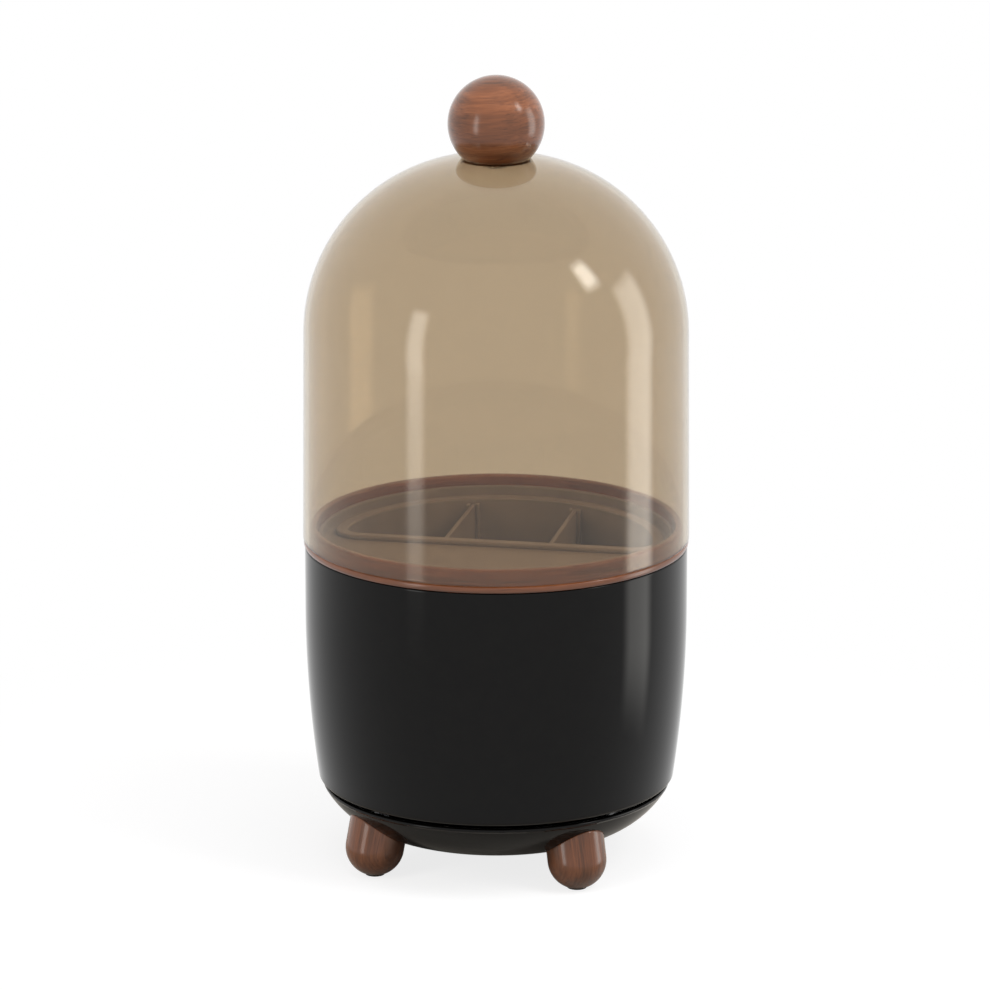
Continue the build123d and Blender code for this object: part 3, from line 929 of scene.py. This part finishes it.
@dataclass
class InsertTray:
    """Round tray on the ring's ledge, with a raised rim and an opening for the well."""

    plan: WellPlan
    radius: float = 70.0
    wall: float = 1.8
    bottom: float = 124.2
    floor: float = 126.4
    rim: float = 131.4
    rim_round: float = 0.6
    floor_round: float = 1.6
    play: float = 0.35

    def build(self) -> None:
        """Make the tray and dress it.

        Rays from the plan's middle m through its outline meet the circle of radius R where
        |m + s u| = R, so each ray carries one section: up the outside, over the rim, down to the
        floor, in to the opening, down its edge and out along the underside.
        """
        opening = self.plan.row(self.play)
        middle = np.asarray(self.plan.middle)
        ray = opening - middle
        ray /= np.linalg.norm(ray, axis=1, keepdims=True)
        along = ray @ middle
        hit = middle + (np.sqrt(along**2 + self.radius**2 - middle @ middle) - along)[:, None] * ray
        turn = hit / self.radius
        inside = self.radius - self.wall
        round_part = chain(
            (0, self.bottom),
            [
                (self.radius, self.bottom, 0.3),
                (self.radius, self.rim, self.rim_round),
                (inside, self.rim, self.rim_round),
                (inside, self.floor, self.floor_round),
            ],
            (0, self.floor),
        )
        edge_part = chain(
            (self.radius, self.floor),
            [(self.play, self.floor, 0.4), (self.play, self.bottom, 0.3)],
            (self.radius, self.bottom),
        )
        rows = np.stack([lifted(radius * turn, height) for radius, height in round_part])
        patch = Patch.ring(np.concatenate([rows, self.plan.rows(edge_part)]))
        piece = make_piece("taupe_insert_tray", patch)
        settle(piece, Body.TURNTABLE, TAUPE, ["insert_tray"])


@dataclass
class BrushWell:
    """Deep tub that hangs in the tray by its flange, with guides and two partitions."""

    plan: WellPlan
    low: float = 44.4
    floor: float = 46.2
    seat: float = 126.42        # a hair above the tray, so that the faces stay apart
    top: float = 128.2
    wall: float = 1.8
    flange: float = 3.2
    edge: float = 0.7
    floor_round: float = 1.6
    partition_x: float = 21.0
    partition_thickness: float = 1.8
    partition_top: float = 126.2
    partition_round: float = 0.5
    guide_width: float = 1.4
    guide_depth: float = 2.0
    guide_round: float = 0.3
    sunk: float = 0.4           # of the guides in the tub's wall and floor
    play: float = 0.15

    def tub(self) -> Patch:
        """Outside, flange and inside as one profile carried round the plan, closed at both floors."""
        inwards = -self.plan.corner
        profile = chain(
            (inwards, self.low),
            [
                (0.0, self.low, self.floor_round),
                (0.0, self.seat, 0.3),
                (self.flange, self.seat, 0.5),
                (self.flange, self.top, self.edge),
                (-self.wall, self.top, self.edge),
                (-self.wall, self.floor, self.floor_round),
            ],
            (inwards, self.floor),
        )
        middle = self.plan.middle
        return Patch.capped(self.plan.rows(profile), (*middle, self.low), (*middle, self.floor))

    def guide(self, x: float) -> list[Patch]:
        """Front and rear rib at one x, let a little into the tub's wall."""
        sides = (x - self.guide_width / 2, x + self.guide_width / 2)
        heights = (self.floor - self.sunk, self.partition_top)
        front = self.wall - self.plan.front
        tip = front + self.guide_depth
        backs = [self.plan.depth(side, -self.wall) + self.sunk for side in sides]
        start = min(backs) - self.sunk - self.guide_depth
        return [
            upright_slab(sides, front - self.sunk, (tip, tip), heights, self.guide_round),
            upright_slab(sides, start, (backs[0], backs[1]), heights, self.guide_round),
        ]

    def build(self) -> None:
        """Make the tub with its guides, and both partitions, and dress them."""
        reach = self.partition_thickness / 2 + self.play + self.guide_width / 2
        guides: list[Patch] = []
        for middle in (-self.partition_x, self.partition_x):
            for side in (-reach, reach):
                guides += self.guide(middle + side)
        tub = make_piece("taupe_brush_well", join([self.tub()] + guides))
        settle(tub, Body.WELL, TAUPE, ["brush_well"])
        inset = -self.wall - self.play
        for name, middle in (("partition_left", -self.partition_x), ("partition_right", self.partition_x)):
            sides = (middle - self.partition_thickness / 2, middle + self.partition_thickness / 2)
            backs = (self.plan.depth(sides[0], inset), self.plan.depth(sides[1], inset))
            front = -inset - self.plan.front
            heights = (self.floor, self.partition_top)
            slab = upright_slab(sides, front, backs, heights, self.partition_round)
            settle(make_piece("taupe_" + name, slab), Body.WELL, TAUPE, [name])


@dataclass
class Shell:
    """Barrel-shaped body wall with an inner flange."""

    radius: float = 75.0
    foot: float = 31.8
    top: float = 126.4
    straight: float = 25.4
    draw_in: float = 5.0
    wall: float = 2.6
    foot_round: float = 1.8
    top_round: float = 0.6
    flange_low: float = 35.6
    flange_high: float = 38.1   # a little below the screws' tips, so that they show
    flange_radius: float = 58.0

    def side(self, inward: float, low: float) -> np.ndarray:
        """Curved side from a height up to the straight part.

        The lower part is one arc of radius (h^2 + d^2) / 2d for its height h and draw-in d,
        upright where it leaves the straight part.

        Args:
            inward: How far the side lies inside the outer one.
            low: Height that it starts from.

        Returns:
            Points of radius and height.
        """
        height = self.top - self.straight - self.foot
        curve = (height**2 + self.draw_in**2) / (2 * self.draw_in)
        centre = (self.radius - curve, self.top - self.straight)
        start = -math.degrees(math.asin((centre[1] - low) / (curve - inward)))
        return arc(centre, curve - inward, start, 0, 48)

    def build(self) -> None:
        """Make the wall and dress it."""
        outside = self.side(0, self.foot + 2.6)
        foot_outer = self.side(0, self.foot)[0]
        foot_inner = self.side(self.wall, self.foot)[0]
        inside = self.side(self.wall, self.flange_high + 0.6)
        above = self.side(self.wall, self.flange_high)[0]
        below = self.side(self.wall, self.flange_low)[0]
        lip_high = (self.flange_radius, self.flange_high)
        lip_low = (self.flange_radius, self.flange_low)
        top_outer = (self.radius, self.top)
        top_inner = (self.radius - self.wall, self.top)
        outline = np.vstack(
            [
                corner(foot_inner, foot_outer, outside[0], self.foot_round, steps=10),
                outside,
                chain(outside[-1], [(*top_outer, self.top_round), (*top_inner, 0.3)], inside[-1]),
                inside[::-1],
                chain(
                    inside[0],
                    [(*above, 0.2), (*lip_high, 0.4), (*lip_low, 0.3), (*below, 0.2), (*foot_inner, 0.3)],
                    foot_outer,
                ),
            ]
        )
        piece = make_piece("black_body_shell", Patch.ring(turned(outline)))
        settle(piece, Body.TURNTABLE, BLACK, ["outer_shell"])


@dataclass
class BaseDish:
    """Shallow dish under the body: outer curve, rim, bearing seat, hub and foot bosses."""

    bottom: float = 11.6
    rim: float = 30.2
    flat_radius: float = 38.0
    rim_radius: float = 68.9
    wall: float = 2.4
    rim_round: float = 0.7
    seat_outer: float = 44.5
    seat_inner: float = 32.6
    seat_top: float = 24.2
    seat_round: float = 0.25
    hub_radius: float = 13.0
    bush_hole: float = 6.2
    pocket_radius: float = 10.5
    pocket_roof: float = 17.6

    @property
    def curve(self) -> float:
        """Radius of the side's arc, (w^2 + h^2) / 2h for its width w and height h."""
        width = self.rim_radius - self.flat_radius
        height = self.rim - self.bottom
        return (width**2 + height**2) / (2 * height)

    def side(self, inward: float, end: float) -> np.ndarray:
        """Side from the flat bottom up to a height, level where it starts."""
        centre = (self.flat_radius, self.bottom + self.curve)
        radius = self.curve - inward
        turn = math.degrees(math.acos((centre[1] - end) / radius))
        return arc(centre, radius, -90, turn - 90, 56)

    def reach(self, start: np.ndarray, along: np.ndarray) -> np.ndarray:
        """How far each line goes before it meets the dish's outside.

        The outside is the set of points whose radius r and height z lie the curve's radius from
        (flat_radius, bottom + curve). Newton steps solve that for each line at once.

        Args:
            start: Start of each line.
            along: Common direction of the lines.

        Returns:
            One length for each line.
        """
        length = np.full(len(start), 4.0)
        for _ in range(24):
            spot = start + length[:, None] * along
            radius = np.hypot(spot[:, 0], spot[:, 1])
            out = radius - self.flat_radius
            up = spot[:, 2] - self.bottom - self.curve
            distance = np.hypot(out, up)
            radial = (spot[:, 0] * along[0] + spot[:, 1] * along[1]) / radius
            slope = (out * radial + up * along[2]) / distance
            length = length - (distance - self.curve) / slope
        return length

    def build(self) -> None:
        """Make the dish with its inner seats and dress it."""
        outside = self.side(0, self.rim - 1.2)
        inside = self.side(self.wall, self.rim - 1.2)
        centre_z = self.bottom + self.curve
        rim_outer = self.side(0, self.rim)[-1]
        rim_inner = self.side(self.wall, self.rim)[-1]
        drop = math.sqrt((self.curve - self.wall) ** 2 - (self.seat_outer - self.flat_radius) ** 2)
        seat_foot = (self.seat_outer, centre_z - drop)
        floor = self.bottom + self.wall
        shown = inside[inside[:, 0] > self.seat_outer + 0.8]
        stops = [
            seat_foot,
            (self.seat_outer, self.seat_top),
            (self.seat_inner, self.seat_top),
            (self.seat_inner, floor),
            (self.hub_radius, floor),
            (self.hub_radius, self.seat_top),
            (self.bush_hole, self.seat_top),
            (self.bush_hole, self.pocket_roof),
            (self.pocket_radius, self.pocket_roof),
            (self.pocket_radius, self.bottom),
        ]
        rim = [(*rim_outer, self.rim_round), (*rim_inner, self.rim_round)]
        outline = np.vstack(
            [
                outside,
                chain(outside[-1], rim, inside[-1]),
                shown[::-1],
                chain(shown[0], [(*stop, self.seat_round) for stop in stops], outside[0], steps=4),
            ]
        )
        piece = make_piece("black_base_dish", Patch.ring(turned(outline)))
        settle(piece, Body.BASE, BLACK, ["base_dish"])


@dataclass
class Foot:
    """Splayed bullet foot, ended on the dish's curve, with a flat and a recess for its pad."""

    index: int
    dish: BaseDish
    radius: float = 11.5
    circle: float = 57.0
    splay: float = 12.0
    start_angle: float = 45.0
    flat_height: float = 0.8
    flat_radius: float = 4.5
    recess_radius: float = 4.05
    recess_roof: float = 2.0
    sunk: float = 0.3           # reach into the dish's skin, so that no gap shows
    columns: int = 96

    def axes(self) -> np.ndarray:
        """Rows: sideways, outward-and-up and along the foot, as unit directions."""
        turn = math.radians(self.start_angle + 90 * self.index)
        lean = math.radians(self.splay)
        out = np.array([math.cos(turn), math.sin(turn), 0])
        up = np.array([0, 0, 1.0])
        along = math.cos(lean) * up - math.sin(lean) * out
        across = math.cos(lean) * out + math.sin(lean) * up
        return np.stack([across, np.cross(along, across), along])

    def build(self) -> None:
        """Make the foot and dress it, its grain along its axis.

        A column at angle t starts at the recess, crosses the flat, follows the ball by turning
        evenly from the flat's edge to the widest circle, then runs straight to the dish.
        """
        across, side, along = self.axes()
        lift = self.flat_height + math.sqrt(self.radius**2 - self.flat_radius**2)
        turn = math.radians(self.start_angle + 90 * self.index)
        centre = np.array([self.circle * math.cos(turn), self.circle * math.sin(turn), lift])
        angle = np.linspace(0, math.tau, self.columns, endpoint=False)[:, None]
        widest = np.cos(angle) * across + np.sin(angle) * side
        level = widest * (1, 1, 0)
        level /= np.linalg.norm(level, axis=1, keepdims=True)
        floor_spot = np.array([centre[0], centre[1], 0])
        flat = np.array([0, 0, self.flat_height - lift]) + self.flat_radius * level
        flat /= self.radius
        sweep = np.arccos(np.sum(flat * widest, axis=1, keepdims=True))
        share = np.concatenate([[0, 0.02], np.linspace(0.06, 1, 22)])[:, None, None]
        ball = (np.sin((1 - share) * sweep) * flat + np.sin(share * sweep) * widest) / np.sin(sweep)
        length = self.dish.reach(centre + self.radius * widest, along)[:, None] + self.sunk
        rise = np.linspace(0.1, 1, 10)[:, None, None] * length
        straight = centre + self.radius * widest + rise * along
        below = [
            (self.recess_radius, self.recess_roof),
            (self.recess_radius, self.flat_height + 0.1),
            (self.recess_radius + 0.1, self.flat_height),
            (self.flat_radius - 0.05, self.flat_height),
        ]
        recess = np.stack([floor_spot + radius * level + (0, 0, height) for radius, height in below])
        rows = np.concatenate([recess, centre + self.radius * ball, straight])
        top = straight[-1].mean(axis=0)
        patch = Patch.capped(rows, floor_spot + (0, 0, self.recess_roof), top)
        local = (patch.points - centre) @ np.stack([along, across, side]).T
        wood = local + (60.0 * self.index, 17.0 + 6.0 * self.index, 11.0)
        name = f"foot_{self.index + 1}"
        piece = make_piece("walnut_" + name, patch, wood)
        settle(piece, Body.BASE, WALNUT, [name])


@dataclass
class FootPads:
    """Round rubber pads let into the feet."""

    radius: float = 3.9
    height: float = 2.0
    circle: float = 57.0
    start_angle: float = 45.0
    edge_round: float = 0.35

    def build(self) -> None:
        """Make the four pads, a little dished below, as one piece and dress them."""
        edges = [(self.radius, height, self.edge_round) for height in (0, self.height)]
        outline = np.vstack([[(1.5, 0.15), (2.4, 0.0)], chain((0, 0), edges, (0, self.height))])
        pad = Patch.capped(turned(outline, 48), (0, 0, 0.2), (0, 0, self.height))
        turns = np.radians(self.start_angle + 90 * np.arange(4))
        places = self.circle * np.stack([np.cos(turns), np.sin(turns), np.zeros(4)], axis=-1)
        pads = [pad.moved(place) for place in places]
        piece = make_piece("rubber_foot_pads", join(pads))
        settle(piece, Body.BASE, RUBBER, ["foot_pads"])


@dataclass
class Hardware:
    """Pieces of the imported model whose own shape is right, and that only get a finish."""

    finishes: tuple[tuple[Finish, tuple[str, ...]], ...] = (
        (BLACK, ("turntable_plate",)),
        (RUBBER, ("base_cap",)),
        (NYLON, ("pivot_bush", "ball_cage", "knob_washer")),
        (BRASS, ("knob_insert",)),
        (
            STEEL,
            (
                "foot_screws",
                "lower_race",
                "lower_race_screws",
                "bearing_balls",
                "plate_screws",
                "upper_race",
                "upper_race_screws",
                "pivot_bolt",
                "thrust_washer",
                "lock_nut",
                "knob_screw",
            ),
        ),
    )

    def dress(self) -> None:
        """Give each node its finish."""
        for finish, names in self.finishes:
            for name in names:
                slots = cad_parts[name].data.materials
                slots.clear()
                slots.append(material_of(finish))
                LOG.info("%s: packed shape, %s", name, finish.name)


# Studio


@dataclass(frozen=True)
class SoftBox:
    """A rectangular lamp that looks at the object from a direction of the camera's own frame."""

    name: str
    azimuth: float      # to the right of the camera, seen from above
    elevation: float
    distance: float     # metres
    width: float        # metres
    height: float       # metres
    watts: float
    colour: str = "#FFFFFF"
    aim: float = 0.15   # metres above the floor


@dataclass(frozen=True)
class Glow:
    """A soft box as gloss and glass mirror it, in the camera's own frame."""

    azimuth: float
    elevation: float
    half_width: float
    half_height: float
    softness: float
    strength: float


@dataclass
class Studio:
    """Camera, lamps, white surround and floor."""

    camera_azimuth: float = 11.5
    camera_elevation: float = 14.875
    camera_distance: float = 2.2        # metres
    camera_lens: float = 204.4
    aim_height: float = 0.1455          # metres
    axis_pixel: float = 496.16          # column of the object's axis in the photograph
    fill: float = 0.45
    lamps: tuple[SoftBox, ...] = (
        SoftBox("key_right", 62, 40, 1.1, 0.5, 0.7, 8.5, "#FFFBF5"),
        SoftBox("strip_left", -50, 18, 1.0, 0.3, 0.9, 5.0, "#FFF8EC"),
        SoftBox("overhead", 10, 78, 1.0, 0.8, 0.8, 4.5),
    )
    # Soft boxes in reflections: a tall and a small high one on the right, a slim one on the left.
    glows: tuple[Glow, ...] = (
        Glow(95, 2, 10, 22, 4.0, 2.8),
        Glow(72, 38, 6, 7, 4.0, 8.0),
        Glow(-49, 4, 5, 18, 3.0, 3.4),
    )
    glow_colour: str = "#FFFDF8"
    floor_half: float = 1600.0                          # millimetres
    floor_fade: tuple[float, float] = (0.11, 0.32)      # metres from the axis, where it turns white
    floor_mirrored: tuple[float, float] = (0.09, 0.13)  # metres, where gloss loses it
    floor_light: float = 0.8                            # its own part of the white near the object

    def direction(self, azimuth: float, elevation: float) -> Vector:
        """Unit direction from the object, by azimuth to the camera's right and elevation."""
        turn = math.radians(self.camera_azimuth + azimuth)
        rise = math.radians(elevation)
        return Vector((math.sin(turn) * math.cos(rise), -math.cos(turn) * math.cos(rise), math.sin(rise)))

    def camera(self) -> None:
        """Set the camera at the photograph's viewing angle."""
        data = bpy.data.cameras.new("camera")
        data.sensor_width = 36.0
        data.lens = self.camera_lens
        data.shift_x = -(self.axis_pixel - IMAGE_PIXELS / 2) / IMAGE_PIXELS
        data.clip_start = 0.05
        data.clip_end = 50.0
        holder = bpy.data.objects.new("camera", data)
        bpy.context.scene.collection.objects.link(holder)
        back = self.direction(0, self.camera_elevation)
        holder.location = Vector((0, 0, self.aim_height)) + back * self.camera_distance
        holder.rotation_euler = back.to_track_quat("Z", "Y").to_euler()
        bpy.context.scene.camera = holder

    def lights(self) -> None:
        """Hang the lamps, which gloss doesn't mirror: the soft boxes of the world stand in there."""
        for box in self.lamps:
            data = bpy.data.lights.new(box.name, "AREA")
            data.shape = "RECTANGLE"
            data.size = box.width
            data.size_y = box.height
            data.energy = box.watts
            data.color = linear(box.colour)[:3]
            holder = bpy.data.objects.new(box.name, data)
            bpy.context.scene.collection.objects.link(holder)
            out = self.direction(box.azimuth, box.elevation)
            holder.visible_glossy = False
            holder.visible_transmission = False
            holder.location = Vector((0, 0, box.aim)) + out * box.distance
            holder.rotation_euler = out.to_track_quat("Z", "Y").to_euler()
            LOG.info("%s: %.1f W", box.name, box.watts)

    @staticmethod
    def within(
        tree: bpy.types.NodeTree, angle: bpy.types.NodeSocket, middle: float, half: float, softness: float
    ) -> bpy.types.NodeSocket:
        """One inside a range of an angle, falling smoothly to nought across its soft edges.

        Args:
            tree: Node tree of the world.
            angle: Angle of the direction that is looked at, in radians.
            middle: Middle of the range, in degrees.
            half: Half of its width, in degrees.
            softness: Half of the width of each edge, in degrees.

        Returns:
            The socket with the value.
        """
        off = put(tree, "Math", {0: angle, 1: math.radians(middle)}, operation="SUBTRACT").outputs[0]
        away = put(tree, "Math", {0: off}, operation="ABSOLUTE").outputs[0]
        return put(
            tree,
            "MapRange",
            {
                "Value": away,
                "From Min": math.radians(half - softness),
                "From Max": math.radians(half + softness),
                "To Min": 1.0,
                "To Max": 0.0,
            },
            interpolation_type="SMOOTHSTEP",
        ).outputs[0]

    def mirrored(
        self, tree: bpy.types.NodeTree, white: bpy.types.NodeSocket, gloss: bpy.types.NodeSocket
    ) -> bpy.types.NodeSocket:
        """Add the soft boxes to the white surround, for rays that met gloss.

        Args:
            tree: Node tree of the world.
            white: Shader of the surround.
            gloss: One for a ray that met gloss on its way.

        Returns:
            The shader's socket.
        """
        look = put(tree, "TexCoord").outputs["Generated"]
        ahead, aside, upward = (
            put(tree, "VectorMath", {0: look, 1: way}, operation="DOT_PRODUCT").outputs["Value"]
            for way in (self.direction(0, 0), self.direction(90, 0), Vector((0, 0, 1)))
        )
        azimuth = put(tree, "Math", {0: aside, 1: ahead}, operation="ARCTAN2").outputs[0]
        elevation = put(tree, "Math", {0: upward}, operation="ARCSINE").outputs[0]
        shown = white
        for glow in self.glows:
            wide = self.within(tree, azimuth, glow.azimuth, glow.half_width, glow.softness)
            tall = self.within(tree, elevation, glow.elevation, glow.half_height, glow.softness)
            patch = put(tree, "Math", {0: wide, 1: tall}, operation="MULTIPLY").outputs[0]
            met = put(tree, "Math", {0: patch, 1: gloss}, operation="MULTIPLY").outputs[0]
            bright = put(tree, "Math", {0: met, 1: glow.strength}, operation="MULTIPLY").outputs[0]
            light = put(tree, "Background", {"Color": linear(self.glow_colour), "Strength": bright})
            shown = put(tree, "AddShader", {0: shown, 1: light.outputs[0]}).outputs[0]
        return shown

    def world(self) -> None:
        """Make the surround: white to the camera, in gloss and through glass, a plain fill otherwise."""
        world = bpy.data.worlds.new("studio")
        bpy.context.scene.world = world
        # Sampled by the surfaces alone, because a lamp sample can't tell gloss from a dull surface.
        world.cycles.sampling_method = "NONE"
        world.use_nodes = True
        tree = world.node_tree
        tree.nodes.clear()
        ray = put(tree, "LightPath").outputs
        plain = put(tree, "Background", {"Color": linear("#FFFDFA"), "Strength": self.fill}).outputs[0]
        white = put(tree, "Background", {"Color": linear("#FFFFFF"), "Strength": 1.0}).outputs[0]
        clear = put(
            tree, "Math", {0: ray["Is Camera Ray"], 1: ray["Is Transmission Ray"]}, operation="MAXIMUM"
        ).outputs[0]
        seen = put(tree, "Math", {0: clear, 1: ray["Is Glossy Ray"]}, operation="MAXIMUM").outputs[0]
        direct = put(tree, "MixShader", {0: seen, 1: plain, 2: white}).outputs[0]
        # A ray that met gloss on its way, also inside the dome's wall, sees the soft boxes.
        bounced = put(
            tree, "Math", {0: ray["Glossy Depth"], 1: ray["Is Diffuse Ray"]}, operation="SUBTRACT"
        ).outputs[0]
        gloss = put(tree, "Math", {0: bounced, 1: 0.5}, operation="GREATER_THAN").outputs[0]
        put(tree, "OutputWorld", {"Surface": self.mirrored(tree, direct, gloss)})

    def floor(self) -> None:
        """Lay a pale floor that keeps the object's shadow and fades to white further out.

        Gloss mirrors it as shaded paper near the object, and the white surround further out.
        """
        points = self.floor_half * np.array([(-1, -1, 0), (1, -1, 0), (1, 1, 0), (-1, 1, 0)])
        piece = make_piece("floor", Patch(points, np.array([[0, 1, 2, 3]]), np.empty((0, 3), int)))
        material, tree = blank("floor_pale_paper")
        ray = put(tree, "LightPath").outputs
        place = put(tree, "TexCoord").outputs["Object"]
        away = put(tree, "VectorMath", {0: place}, operation="LENGTH").outputs["Value"]
        far, beyond = (
            put(
                tree,
                "MapRange",
                {"Value": away, "From Min": start, "From Max": end},
                interpolation_type="SMOOTHSTEP",
            ).outputs[0]
            for start, end in (self.floor_fade, self.floor_mirrored)
        )
        # What the floor throws back on the object, what shows its shadow, and what gloss mirrors.
        paper, shade, shaded = (
            put(tree, "BsdfDiffuse", {"Color": linear(code)}).outputs[0]
            for code in ("#605C57", "#828386", "#D8D5D0")
        )
        glow, white = (
            put(tree, "Emission", {"Color": linear("#FFFFFF"), "Strength": strength}).outputs[0]
            for strength in (self.floor_light, 1.0)
        )
        clear = put(tree, "BsdfTransparent").outputs[0]
        mirrored = put(tree, "MixShader", {0: beyond, 1: shaded, 2: clear}).outputs[0]
        near = put(tree, "AddShader", {0: shade, 1: glow}).outputs[0]
        shown = put(tree, "MixShader", {0: far, 1: near, 2: white}).outputs[0]
        seen = put(
            tree, "Math", {0: ray["Is Camera Ray"], 1: ray["Is Transmission Ray"]}, operation="MAXIMUM"
        ).outputs[0]
        direct = put(tree, "MixShader", {0: seen, 1: paper, 2: shown}).outputs[0]
        mixed = put(tree, "MixShader", {0: ray["Is Glossy Ray"], 1: direct, 2: mirrored}).outputs[0]
        put(tree, "OutputMaterial", {"Surface": mixed})
        piece.data.materials.append(material)

    def build(self) -> None:
        """Set up camera, lamps, surround and floor."""
        self.camera()
        self.lights()
        self.world()
        self.floor()
        bpy.context.scene.view_settings.view_transform = "Standard"


def main() -> None:
    """Build the sub-assemblies in order, then the studio."""
    logging.basicConfig(level=logging.INFO, format="%(name)s: %(message)s")
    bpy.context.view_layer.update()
    dish = BaseDish()
    dish.build()
    for index in range(4):
        Foot(index, dish).build()
    FootPads().build()
    Shell().build()
    RimRing().build()
    plan = WellPlan()
    InsertTray(plan).build()
    BrushWell(plan).build()
    Dome().build()
    Knob().build()
    Hardware().dress()
    Studio().build()


if __name__ == "__main__":
    main()
